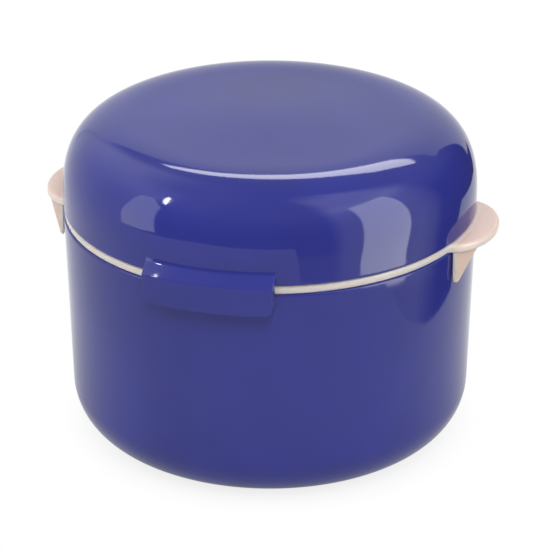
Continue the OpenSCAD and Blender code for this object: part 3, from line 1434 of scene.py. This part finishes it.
@dataclass
class Lid:
    """The domed cover, with the snap tab, the ring that centres it and the middle knuckle."""

    outside: bpy.types.Material
    inside: bpy.types.Material
    seam: Seam = Seam()
    catch: Catch = Catch()
    hinge: HingeLine = HingeLine()
    lid_h: float = 18.5
    skirt_h: float = 2.3
    lid_top_r: float = 25.8
    shoulder_n: float = 2.76
    crown: float = 0.4
    lip_t: float = 1.2
    lip_drop: float = 2.0
    lip_clear: float = 0.4
    tab_half_angle: float = 17.1
    tab_proud: float = 2.55
    tab_top: float = 2.5
    tab_crease: float = 0.5
    tab_reach: float = 3.4
    tab_corner: float = 1.6
    tab_root: float = 0.9
    tab_root_low: float = 0.3
    tab_root_lean: float = 0.35
    tab_blend: float = 1.1
    tab_soft: float = 0.4
    edge_round: float = 0.4
    lip_in_round: float = 0.3
    lip_out_round: float = 0.5
    steps_up: int = 96

    @property
    def top_z(self) -> float:
        """Height of the lid where its crown starts."""
        return self.seam.lid_z + self.lid_h

    def inner_height(self, radius: float) -> float:
        """Finds the height of the inner shoulder's surface.

        Args:
            radius: the distance from the axis.

        Returns:
            The height there.
        """
        side, top = self.seam.case_r - self.seam.wall_t, self.top_z - self.seam.wall_t
        skirt = self.seam.lid_z + self.skirt_h
        across = (radius - self.lid_top_r) / (side - self.lid_top_r)
        lean = math.acos(across ** (self.shoulder_n / 2))
        return skirt + (top - skirt) * math.sin(lean) ** (2 / self.shoulder_n)

    def dome(self) -> bpy.types.Object:
        """Makes the domed shell from its rule.

        Returns:
            The shell, with the outside and the inside in their own finishes.
        """
        s = self.seam
        obj = mesh_object("lid_shell", [(0, 0, 0)])
        run_tree(obj, dome_tree(), Side_Radius=s.case_r, Top_Radius=self.lid_top_r,
                 Foot_Height=s.lid_z, Skirt_Height=s.lid_z + self.skirt_h, Top_Height=self.top_z,
                 Shoulder_Power=self.shoulder_n, Crown=self.crown, Wall=s.wall_t,
                 Edge_Rounding=self.edge_round, Steps_Around=TURN_STEPS, Steps_Up=self.steps_up,
                 Outside_Material=self.outside, Inside_Material=self.inside)
        tidy_mesh(obj)
        return obj

    def ring(self) -> bpy.types.Object:
        """Makes the ring that drops into the basket's mouth.

        Returns:
            The ring, with its upper end inside the lid's wall.
        """
        s = self.seam
        out_r = s.basket_in_r - self.lip_clear
        in_r, low = out_r - self.lip_t, s.lid_z - self.lip_drop
        sunk = s.wall_t / 2
        corners = [Corner(in_r, low, self.lip_in_round), Corner(out_r, low, self.lip_out_round),
                   Corner(out_r, self.inner_height(out_r) + sunk),
                   Corner(in_r, self.inner_height(in_r) + sunk)]
        points = round_corners(corners, closed=True)
        obj = turn("ring", [*points, points[0]], self.inside)
        tidy_mesh(obj, outward=True)
        return obj

    def tab(self) -> bpy.types.Object:
        """Makes the snap tab: a sloping shoulder, an upright face and the hook behind it.

        Returns:
            The tab, with its root inside the lid's wall and its lower corners rounded.
        """
        s, c = self.seam, self.catch
        out_r, low = s.case_r + self.tab_proud, s.cup_h - self.tab_reach
        hook_r, hook_top = c.hook_r(s), c.hook_top(s)
        in_r = hook_r + c.hook_out
        root, overlap, gap = s.case_r - self.tab_root, 0.004, 0.05
        lean = math.pi / 2 - math.atan2(self.tab_top - self.tab_crease, self.tab_proud)
        # A hollow fillet leads from the wall to the slope; it touches both
        blend_r, blend_steps = self.tab_blend, 5
        top = s.lid_z + self.tab_top + blend_r * math.tan(lean / 2)
        blend = [(s.case_r - overlap + blend_r * (1 - math.cos(a)), top - blend_r * math.sin(a))
                 for a in (lean * k / blend_steps for k in range(blend_steps, -1, -1))]
        # Points up the rounded lower corners
        levels = [low + self.tab_corner * (1 - math.cos(math.radians(a)))
                  for a in range(0, 91, 18)]
        hook_low, root_low = hook_top - c.hook_h, s.lid_z + self.tab_root_low
        inner = [(in_r, z) for z in reversed(levels) if z < hook_low - gap]
        outer = [(out_r, z) for z in levels]
        section = [(root, root_low), (in_r, root_low), (in_r, hook_top),
                   (hook_r, hook_top - c.hook_out), (hook_r, hook_low + c.hook_out),
                   (in_r, hook_low), *inner, *outer, (out_r, s.lid_z + self.tab_crease), *blend,
                   (s.case_r - self.tab_root_lean, top + self.tab_root),
                   (root, top + self.tab_root)]
        half_w = out_r * math.sin(math.radians(self.tab_half_angle))
        steps = 30
        loops = []
        for i in range(steps + 1):
            share = 2 * i / steps - 1
            loop = []
            for r, z in section:
                sunk = max(0.0, low + self.tab_corner - z)
                x = share * (half_w - self.tab_corner + math.sqrt(
                    max(0.0, self.tab_corner ** 2 - sunk ** 2)))
                loop.append((x, -math.sqrt(r * r - x * x), z))
            loops.append(loop)
        obj = loft("tab", loops, self.outside)
        soften(obj, self.tab_soft, angle=32)
        return obj

    def build(self) -> bpy.types.Object:
        """Makes the lid.

        Returns:
            The lid as one closed mesh.
        """
        w = self.hinge.lid_knuckle_w
        knuckle = Knuckle(self.seam, self.hinge, -w / 2, w, 1, self.seam.lid_z, self.outside)
        bore = hinge_bore(self.seam, self.hinge, self.outside)
        return join(self.dome(), (Cut.ADD, [self.ring(), knuckle.build(), self.tab()]),
                    (Cut.REMOVE, [bore]))

    def dress(self, lid: bpy.types.Object) -> None:
        """Puts the lid in its place in the model.

        Args:
            lid: the finished lid.
        """
        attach(lid, "lid")
        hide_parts("lid")


@dataclass
class Basket:
    """The strainer: a perforated bowl with a flange, two ears and the pointed webs under them."""

    plastic: bpy.types.Material
    seam: Seam = Seam()
    floor_z: float = 6.0
    basket_round: float = 8.0
    slot_w: float = 3.0
    slot_h: float = 18.0
    slot_margin: float = 8.0
    slot_count: int = 24
    hole_d: float = 4.4
    hole_pitch: float = 8.0
    hole_rings: int = 3
    ear_out: float = 5.3
    ear_root: float = 3.0
    ear_w: float = 23.8
    ear_blend: float = 1.5
    edge_round: float = 0.55
    web_drop: float = 6.8
    web_t: float = 1.2
    web_len: float = 6.2
    web_tip_r: float = 0.8
    web_clear: float = 0.4
    web_from: float = 80.0
    web_to: float = 36.0
    web_tip_at: float = 0.26
    web_sunk: float = 0.7
    web_soft: float = 0.3
    mouth_round: float = 0.5
    neck_round: float = 0.4
    neck_w: float = 1.4
    mouth_w: float = 1.6
    flare: float = 0.25
    longest: float = 3.0
    arc_step: float = 6.0

    def ear_point(self, a: float) -> tuple[Point, Point]:
        """Finds a point of the ear's oval, and the outward direction there.

        Args:
            a: the oval's angle, in radians.

        Returns:
            The point and its unit normal, as (x, y) pairs.
        """
        half_x, half_y = self.ear_root + self.ear_out, self.ear_w / 2
        spot = (self.seam.case_r - self.ear_root + half_x * math.cos(a), half_y * math.sin(a))
        normal = (math.cos(a) / half_x, math.sin(a) / half_y)
        size = math.hypot(*normal)
        return spot, (normal[0] / size, normal[1] / size)

    def plate_quarter(self) -> list[tuple[Point, Point]]:
        """Makes a quarter of the outline of flange and ear, from the ear's tip to the back.

        Returns:
            Points with their outward normals: the ear's oval, a concave fillet, the flange's arc.
        """
        flange_r, blend_r = self.seam.case_r - self.seam.band_inset, self.ear_blend
        ear_steps, blend_steps, halvings = 26, 7, 60
        low, high = 0.2, math.pi / 2
        for _ in range(halvings):
            # The fillet's middle is one fillet radius off both the oval and the flange
            a = (low + high) / 2
            spot, normal = self.ear_point(a)
            middle = (spot[0] + normal[0] * blend_r, spot[1] + normal[1] * blend_r)
            low, high = (a, high) if math.hypot(*middle) > flange_r + blend_r else (low, a)
        line = [self.ear_point(a * k / ear_steps) for k in range(ear_steps + 1)]
        start = math.atan2(-normal[1], -normal[0])
        end = math.atan2(-middle[1], -middle[0])
        sweep = (end - start + math.pi) % (2 * math.pi) - math.pi
        first = math.atan2(middle[1], middle[0])
        rest = math.pi / 2 - first
        arc_steps = math.ceil(rest / (2 * math.pi / TURN_STEPS))
        # A normal is the point of the same arc with a radius of one, turned in for the fillet
        for centre, r, facing, span in ((middle, blend_r, -1, (start, sweep, blend_steps)),
                                        ((0, 0), flange_r, 1, (first, rest, arc_steps))):
            line += list(zip(arc(centre, r, *span), arc((0, 0), facing, *span)))[1:]
        return line

    def plate_outline(self) -> list[tuple[Point, Point]]:
        """Makes the whole outline of flange and ears.

        Returns:
            Points once round, with their outward normals.
        """
        quarter = self.plate_quarter()
        half = quarter + [((-x, y), (-nx, ny)) for (x, y), (nx, ny) in reversed(quarter[:-1])]
        return half + [((x, -y), (nx, -ny)) for (x, y), (nx, ny) in reversed(half[1:-1])]

    def body(self) -> bpy.types.Object:
        """Makes the bowl with its flange and ears, before it is perforated.

        Returns:
            The closed shell.
        """
        s = self.seam
        slope = math.tan(math.radians(s.basket_draft))
        plate = self.plate_outline()
        angles = [math.atan2(y, x) for (x, y), _ in plate]
        under, over = s.cup_h, s.band_top
        foot_r = s.basket_r - (under - self.floor_z) * slope
        inner_floor = self.floor_z + s.basket_t
        mouth_r = s.basket_in_r + s.band_t * slope
        in_foot_r = mouth_r - (over - inner_floor) * slope
        outer = [Corner(0, self.floor_z), Corner(foot_r, self.floor_z, self.basket_round),
                 Corner(s.basket_r, under, self.neck_round),
                 Corner(s.basket_r + self.neck_w, under)]
        inner = [Corner(mouth_r + self.mouth_w, over), Corner(mouth_r, over, self.mouth_round),
                 Corner(in_foot_r, inner_floor, self.basket_round - s.basket_t),
                 Corner(0, inner_floor)]
        below, above = (
            [[(r * math.cos(a), r * math.sin(a), z) for a in angles] for r, z in subdivide(
                round_corners(corners, arc_step=self.arc_step), self.longest)]
            for corners in (outer, inner))
        e, steps = self.edge_round, 6
        edge = []
        for upper, mid_z, sign in ((False, under + e, -1), (True, over - e, 1)):
            for k in range(steps + 1):
                b = math.pi / 2 * (k / steps if upper else 1 - k / steps)
                inset, z = e * (1 - math.cos(b)), mid_z + sign * e * math.sin(b)
                edge.append([(x - nx * inset, y - ny * inset, z) for (x, y), (nx, ny) in plate])
        return loft("basket_shell", [*below, *edge, *above], self.plastic, capped=False)

    def web_outline(self) -> list[Point]:
        """Outline of a web: two straight sides down to a round point.

        Returns:
            The points, as (distance along the web, height), with the upper edge inside the ear.
        """
        under, r, top = self.seam.cup_h, self.web_tip_r, self.seam.cup_h + self.web_sunk
        tip = Vector((self.web_len * self.web_tip_at, under - self.web_drop + r))
        ends = (Vector((0, under)), Vector((self.web_len, under)))
        down, rise = tip - ends[0], ends[1] - tip
        # Each side is tangent to the point's circle, which lies on its left
        start = math.atan2(down.y, down.x) - math.asin(r / down.length) - math.pi / 2
        end = math.atan2(rise.y, rise.x) + math.asin(r / rise.length) - math.pi / 2
        steps = 10
        return [(0, top), (0, under), *arc((tip.x, tip.y), r, start, end - start, steps),
                (self.web_len, under), (self.web_len, top)]

    def web(self, side: Side, end: Side) -> bpy.types.Object:
        """Makes one pointed web under an end of an ear, clear of the cup's wall.

        Args:
            side: the ear's side along X.
            end: the ear's end along Y.

        Returns:
            The closed solid, with its upper edge inside the ear.
        """
        (x0, y0), _ = self.ear_point(math.radians(self.web_from))
        (x1, y1), _ = self.ear_point(math.radians(self.web_to))
        size = math.hypot(x1 - x0, y1 - y0)
        ux, uy = (x1 - x0) / size, (y1 - y0) / size
        place = Matrix(((ux, 0, uy, x0), (uy, 0, -ux, y0), (0, 1, 0, 0), (0, 0, 0, 1)))
        obj = prism("web", self.web_outline(), self.web_t, place, self.plastic)
        soften(obj, self.web_soft)
        # The room for the cup ends above and below in air or inside the plate, not on a face
        near, past = self.seam.case_r + self.web_clear, 1
        low, high = self.seam.cup_h - self.web_drop - past, self.seam.cup_h + self.web_sunk / 2
        room = turn("web_room", [(0, low), (near, low), (near, high), (0, high)], self.plastic)
        combine(obj, room, Cut.REMOVE)
        obj.data.transform(Matrix.Diagonal((side.value, end.value, 1, 1)))
        tidy_mesh(obj, outward=True)
        return obj

    def hole_cutter(self) -> bpy.types.Object:
        """Makes the cutter of one floor hole, flared at both faces of the floor.

        Returns:
            The cutter, upright on the axis.
        """
        r, flare = self.hole_d / 2, self.flare
        low, high = self.floor_z, self.floor_z + self.seam.basket_t
        wide, past = r + 2 * flare, flare
        points = [(0, low - past), (wide, low - past), (r, low + flare), (r, high - flare),
                  (wide, high + past), (0, high + past)]
        return turn("hole", points, self.plastic, steps=HOLE_STEPS)

    def slot_cutter(self) -> bpy.types.Object:
        """Makes the cutter of one wall slot, flared at both faces of the wall.

        Returns:
            The cutter, tilted with the wall and moved out to it along X.
        """
        s = self.seam
        r, flare, t, past = self.slot_w / 2, self.flare, s.basket_t, 1.2
        high = s.cup_h - self.slot_margin - r
        low = high - (self.slot_h - self.slot_w)
        middle = (low + high) / 2
        wall_r = s.basket_r - (s.cup_h - middle) * math.tan(math.radians(s.basket_draft))
        half = (high - low) / 2
        loops = []
        for depth, grow in ((-past, flare), (0, flare), (flare, 0), (t - flare, 0), (t, flare),
                            (t + past, flare)):
            loop = []
            for k in range(HOLE_STEPS):
                a = 2 * math.pi * (k + 0.5) / HOLE_STEPS
                y = (r + grow) * math.cos(a)
                z = (r + grow) * math.sin(a) + (half if math.sin(a) > 0 else -half)
                loop.append((-depth, y, z))
            loops.append(loop)
        obj = loft("slot", loops, self.plastic)
        tilt = Matrix.Rotation(math.radians(s.basket_draft), 4, "Y")
        obj.data.transform(Matrix.Translation((wall_r * MM, 0, middle * MM)) @ tilt)
        return obj

    def perforations(self) -> list[bpy.types.Object]:
        """Makes the cutters of all wall slots and of all floor holes.

        Returns:
            Two objects, each with its pattern of cutters.
        """
        made = []
        holes = 1 + 3 * self.hole_rings * (self.hole_rings + 1)
        for name, cutter, in_rings, count, pitch in (
                ("slots", self.slot_cutter(), False, self.slot_count, 0.0),
                ("holes", self.hole_cutter(), True, holes, self.hole_pitch)):
            obj = mesh_object(name, [(0, 0, 0)])
            run_tree(obj, pattern_tree(name, in_rings), Cutter=cutter, Count=count, Pitch=pitch,
                     Material=self.plastic)
            remove(cutter)
            made.append(obj)
        return made

    def build(self) -> bpy.types.Object:
        """Makes the basket.

        Returns:
            The basket as one closed mesh.
        """
        webs = [self.web(side, end) for side in Side for end in Side]
        return join(self.body(), (Cut.REMOVE, self.perforations()), (Cut.ADD, webs))

    def dress(self, basket: bpy.types.Object) -> None:
        """Puts the basket in its place in the model.

        Args:
            basket: the finished basket.
        """
        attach(basket, "basket")
        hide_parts("basket")


@dataclass
class HingePin:
    """The wire that the knuckles turn on, with cropped and chamfered ends."""

    steel: bpy.types.Material
    seam: Seam = Seam()
    hinge: HingeLine = HingeLine()
    chamfer: float = 0.3
    longest: float = 2.0

    def build(self) -> bpy.types.Object:
        """Makes the pin.

        Returns:
            The pin as one closed mesh on the hinge's axis.
        """
        r, half, c = self.hinge.pin_d / 2, self.hinge.pin_half_l, self.chamfer
        corners = [(0, -half), (r - c, -half), (r, -half + c), (r, half - c), (r - c, half),
                   (0, half)]
        pin = turn("hinge_wire", subdivide(corners, self.longest), self.steel, steps=BORE_STEPS)
        lay_along_x(pin, self.seam, self.hinge)
        smooth(pin)
        return pin

    def dress(self, pin: bpy.types.Object) -> None:
        """Puts the pin in its place in the model.

        Args:
            pin: the finished pin.
        """
        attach(pin, "cup")
        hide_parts("hinge_pin")


# Studio


@dataclass(frozen=True)
class Card:
    """A luminous card on an upright plane that faces the case, in metres.

    Its outline is given across the plane, to the left as the case looks at it, and in height.
    """

    name: str
    bearing: float
    distance: float
    glow: float
    outline: tuple[Point, ...]


@dataclass(frozen=True)
class Glow:
    """A soft patch of light on the walls or the ceiling, in degrees of bearing and elevation."""

    bearings: Point
    heights: Point
    soft: Point
    level: float


@dataclass(frozen=True)
class Fill:
    """A round soft lamp, in metres, that lights the case but shows in no reflection."""

    name: str
    bearing: float
    distance: float
    height: float
    size: float
    glow: float


@dataclass(frozen=True)
class PaleFloor:
    """Diffuse white paper that shows as pure white away from the case.

    Near the case a share of its own shading stays, so that the case's shadow shows. A fade is
    the pair of distances from the origin between which white grows to its full share.
    """

    grey: float = 0.7
    gloss_fade: Point = (0.03, 0.085)
    gloss_least: float = 0.3
    camera_fade: Point = (0.029, 0.046)
    camera_least: float = 0.78

    def material(self) -> bpy.types.Material:
        """Builds the paper.

        Returns:
            A diffuse material with a share of plain white for camera, gloss and glass.
        """
        sheet = MaterialSheet("pale_floor")
        diffuse = sheet.add("ShaderNodeBsdfDiffuse")
        diffuse.inputs["Color"].default_value = (self.grey, self.grey, self.grey, 1)
        white = sheet.add("ShaderNodeEmission")
        away = sheet.vector_math("LENGTH", sheet.object_place()).outputs["Value"]
        in_gloss = sheet.ramp(away, self.gloss_fade, (self.gloss_least, 1.0))
        in_camera = sheet.ramp(away, self.camera_fade, (self.camera_least, 1.0))
        share = in_gloss + sheet.ray("Is Camera Ray") * (in_camera - in_gloss)
        mix = sheet.add("ShaderNodeMixShader")
        for socket, value in zip(mix.inputs, (share * sheet.seen(), diffuse.outputs[0],
                                              white.outputs[0])):
            sheet.put(socket, value)
        return sheet.only(mix.outputs[0])


def oval(x: float, y: float, half_x: float, half_y: float, lean: float) -> tuple[Point, ...]:
    """Makes an oval that leans across.

    Args:
        x: the place of its middle across.
        y: the height of its middle.
        half_x: half of its width.
        half_y: half of its height.
        lean: how far it leans across, as a share of its height.

    Returns:
        The oval's points.
    """
    steps = 24
    turns = [2 * math.pi * k / steps for k in range(steps)]
    return tuple((x + half_x * math.cos(t) + lean * half_y * math.sin(t),
                  y + half_y * math.sin(t)) for t in turns)


@dataclass(frozen=True)
class Studio:
    """A pale table in a dim room, soft lamps round it, and the camera.

    A bearing is 0 towards the camera, 90 to the right of the picture and 180 behind the case.
    """

    azimuth: float = 16.5
    elevation: float = 24.97
    distance: float = 0.59504
    aim: Point = (0.0011, 0.0321)
    lens_mm: float = 186.3
    sensor_mm: float = 36.0
    clip_start: float = 0.01
    lamp_aim: float = 0.04
    room_r: float = 0.9
    ground_r: float = 3.0
    ground_drop: float = 0.0002
    paper: PaleFloor = PaleFloor()
    cards: tuple[Card, ...] = (
        Card("soft_right", 68, 0.4, 6.0, ((-0.145, -0.135), (0.058, -0.135), (0.066, 0.183),
                                          (0.092, 0.475), (-0.119, 0.463), (-0.141, 0.1))),
        Card("soft_left", -76, 0.4, 3.0, ((-0.04, 0.004), (0.047, 0.008), (0.112, 0.022),
                                          (0.09, 0.2), (0.078, 0.29), (-0.02, 0.4),
                                          (-0.065, 0.353), (-0.045, 0.204), (-0.048, 0.079))),
        Card("backdrop", 180, 0.5, 0.95, ((0.255, 0.0), (0.255, 0.335), (0.21, 0.36),
                                          (0.085, 0.417), (0.0, 0.446), (-0.25, 0.47),
                                          (-0.38, 0.47), (-0.43, 0.44), (-0.36, 0.38),
                                          (-0.36, 0.0))),
        Card("strip", 180, 0.52, 7.0, ((0.14, 0.495), (0.0, 0.458), (-0.07, 0.452), (-0.16, 0.482),
                                       (-0.28, 0.54), (-0.38, 0.6), (-0.43, 0.64), (-0.45, 0.69),
                                       (-0.42, 0.735), (-0.34, 0.745), (-0.11, 0.64), (0.0, 0.6),
                                       (0.1, 0.575), (0.14, 0.54))),
        Card("bulb", -76, 0.41, 32.0, oval(0.025, 0.465, 0.017, 0.095, -0.42)),
    )
    glows: tuple[Glow, ...] = (
        Glow((-400, 400), (32, 400), (1, 18), 0.42),
        Glow((36, 101), (-24, 52), (5, 3), 0.5),
        Glow((36, 92), (-400, 52), (7, 10), 0.55),
        Glow((38, 104), (46, 78), (12, 9), 1.5),
        Glow((-156, -76), (-400, 58), (7, 12), 0.92),
        Glow((-150, -40), (40, 80), (25, 12), 0.2),
        Glow((-80, 34), (-30, 32), (10, 14), 0.14),
        Glow((10, 34), (-60, -12), (4, 4), 0.33),
    )
    dim: float = 0.05
    ambient: float = 0.32
    fills: tuple[Fill, ...] = (
        Fill("overhead", 0, 0.2, 0.85, 0.5, 3.1),
        Fill("key", 5, 0.5, 0.66, 0.26, 11.5),
        Fill("fill_left", -90, 0.65, 0.3, 0.7, 1.65),
        Fill("fill_right", 78, 0.65, 0.35, 0.7, 1.5),
    )
    table: tuple[Point, ...] = ((-0.38, -0.52), (0.115, -0.52), (0.035, -0.14), (0.068, -0.123),
                                (0.094, -0.103), (0.112, -0.075), (0.097, -0.043),
                                (0.096, -0.018), (0.099, 0.0), (0.102, 0.022), (0.19, 0.1),
                                (0.13, 0.17), (0.3, 0.6), (-0.34, 0.6), (-0.24, 0.18),
                                (-0.38, -0.04))

    def axes(self, bearing: float = 0.0) -> tuple[Vector, Vector]:
        """Level directions out at a bearing, and across it to the left as the case looks.

        Args:
            bearing: the bearing, in degrees.

        Returns:
            The two directions; at 0 they lead to the camera and to the right of the picture.
        """
        a = math.radians(self.azimuth + bearing)
        return Vector((math.sin(a), -math.cos(a), 0)), Vector((math.cos(a), math.sin(a), 0))

    def camera(self) -> None:
        """Adds the camera."""
        e = math.radians(self.elevation)
        toward, right = self.axes()
        back = toward * math.cos(e) + UP * math.sin(e)
        data = bpy.data.cameras.new("camera")
        data.lens = self.lens_mm
        data.sensor_width = self.sensor_mm
        data.clip_start = self.clip_start
        camera = new_object("camera", data)
        camera.location = right * self.aim[0] + UP * self.aim[1] + back * self.distance
        camera.rotation_euler = (math.pi / 2 - e, 0, math.radians(self.azimuth))
        bpy.context.scene.camera = camera

    def panel(self, name: str, points: Sequence[Vector], material: bpy.types.Material
              ) -> bpy.types.Object:
        """Adds a flat piece of the studio.

        Args:
            name: its name.
            points: its outline, in metres.
            material: its material.

        Returns:
            The piece.
        """
        obj = mesh_object(name, [point / MM for point in points], [range(len(points))])
        obj.data.materials.append(material)
        return obj

    def floor(self) -> None:
        """Adds the table top, and the ground beyond it that no reflection shows."""
        toward, right = self.axes()
        paper = self.paper.material()
        self.panel("table", [right * x - toward * y for x, y in self.table], paper)
        corners = ((-1, -1), (1, -1), (1, 1), (-1, 1))
        ground = self.panel("ground", [Vector((x * self.ground_r, y * self.ground_r,
                                               -self.ground_drop)) for x, y in corners], paper)
        ground.visible_glossy = False

    def lamps(self) -> None:
        """Adds the luminous cards that the gloss shows, which the camera does not see."""
        for card in self.cards:
            out, across = self.axes(card.bearing)
            points = [out * card.distance + across * u + UP * z for u, z in card.outline]
            obj = self.panel(card.name, points, MaterialSheet(card.name).glow(card.glow))
            obj.visible_camera = obj.visible_diffuse = False

    def soft_fills(self) -> None:
        """Adds the large lamps that light the case."""
        for fill in self.fills:
            data = bpy.data.lights.new(fill.name, "AREA")
            data.shape = "DISK"
            data.size = fill.size
            data.energy = fill.glow * (math.pi * fill.size / 2) ** 2
            lamp = new_object(fill.name, data)
            lamp.location = self.axes(fill.bearing)[0] * fill.distance + UP * fill.height
            aim = UP * self.lamp_aim - lamp.location
            lamp.rotation_euler = aim.to_track_quat("-Z", "Y").to_euler()
            lamp.visible_camera = lamp.visible_glossy = False

    def room(self) -> None:
        """Adds the dim room round the case: a shell with soft patches of light."""
        rings, steps, radius = 24, 48, self.room_r / MM
        loops = []
        for j in range(rings + 1):
            e = math.pi * (j / rings - 0.5)
            loops.append([(radius * math.cos(e) * math.cos(a), radius * math.cos(e) * math.sin(a),
                           radius * math.sin(e))
                          for a in (2 * math.pi * k / steps for k in range(steps))])
        sheet = MaterialSheet("room")
        normal = sheet.vector_math("NORMALIZE", sheet.object_place()).outputs[0]
        forth, aside, up = (
            Signal(sheet, sheet.vector_math("DOT_PRODUCT", normal, axis).outputs["Value"])
            for axis in (*self.axes(), UP))
        bearing = sheet.math("DEGREES", sheet.math("ARCTAN2", aside, forth))
        height = sheet.math("DEGREES", sheet.math("ARCSINE", up))
        level: object = self.dim
        for glow in self.glows:
            patch = (sheet.window(bearing, glow.bearings, glow.soft[0])
                     * sheet.window(height, glow.heights, glow.soft[1]))
            level = patch * glow.level + level
        shell = loft("room", loops, sheet.glow(level), capped=False)
        shell.visible_camera = shell.visible_diffuse = False

    def world(self) -> None:
        """Sets the surroundings to white for camera, gloss and glass, and to a soft light else."""
        world = bpy.data.worlds.new("studio")
        world.use_nodes = True
        bpy.context.scene.world = world
        sheet = NodeSheet(world.node_tree)
        sheet.tree.nodes.clear()
        white = sheet.add("ShaderNodeBackground")
        sheet.feed(white, Color=(1, 1, 1, 1),
                   Strength=sheet.seen() * (1 - self.ambient) + self.ambient)
        sheet.put(sheet.add("ShaderNodeOutputWorld").inputs["Surface"], white.outputs[0])

    def build(self) -> None:
        """Sets up the whole studio."""
        bpy.context.scene.view_settings.view_transform = "Standard"
        self.camera()
        self.floor()
        self.lamps()
        self.soft_fills()
        self.room()
        self.world()


# Main


def report(piece: bpy.types.Object) -> None:
    """Logs a piece's name, its count of triangles and whether its mesh is closed.

    Args:
        piece: the finished piece.
    """
    bm = bmesh.new()
    bm.from_mesh(piece.data)
    gaps = sum(1 for edge in bm.edges if len(edge.link_faces) != 2)
    triangles = sum(len(face.verts) - 2 for face in bm.faces)
    log.info("%s: %d triangles, %.2f cm3, %s", piece.name, triangles,
             bm.calc_volume(signed=True) * 1e6, "closed" if not gaps else f"{gaps} open edges")
    bm.free()


def main() -> None:
    """Builds and dresses every piece, then the studio."""
    logging.basicConfig(level=logging.INFO, format="%(name)s: %(message)s")
    Studio().build()
    blue = (0.188, 0.208, 0.557)
    polished = GlossyPlastic("polished_blue", blue).material()
    satin = GlossyPlastic("satin_blue", blue, gloss=(0.17, 0.27), peel=3e-6).material()
    milky = MilkyPlastic("milky_cream", (0.97, 0.93, 0.87), ear_reach=(0.0422, 0.0438),
                         ear_edge=(0.0477, 0.0491)).material()
    steel = DrawnSteel("drawn_steel", (0.62, 0.62, 0.63)).material()
    for part in (Cup(polished, satin), Lid(polished, satin), Basket(milky), HingePin(steel)):
        piece = part.build()
        part.dress(piece)
        report(piece)
    bpy.context.view_layer.update()


if __name__ == "__main__":
    main()
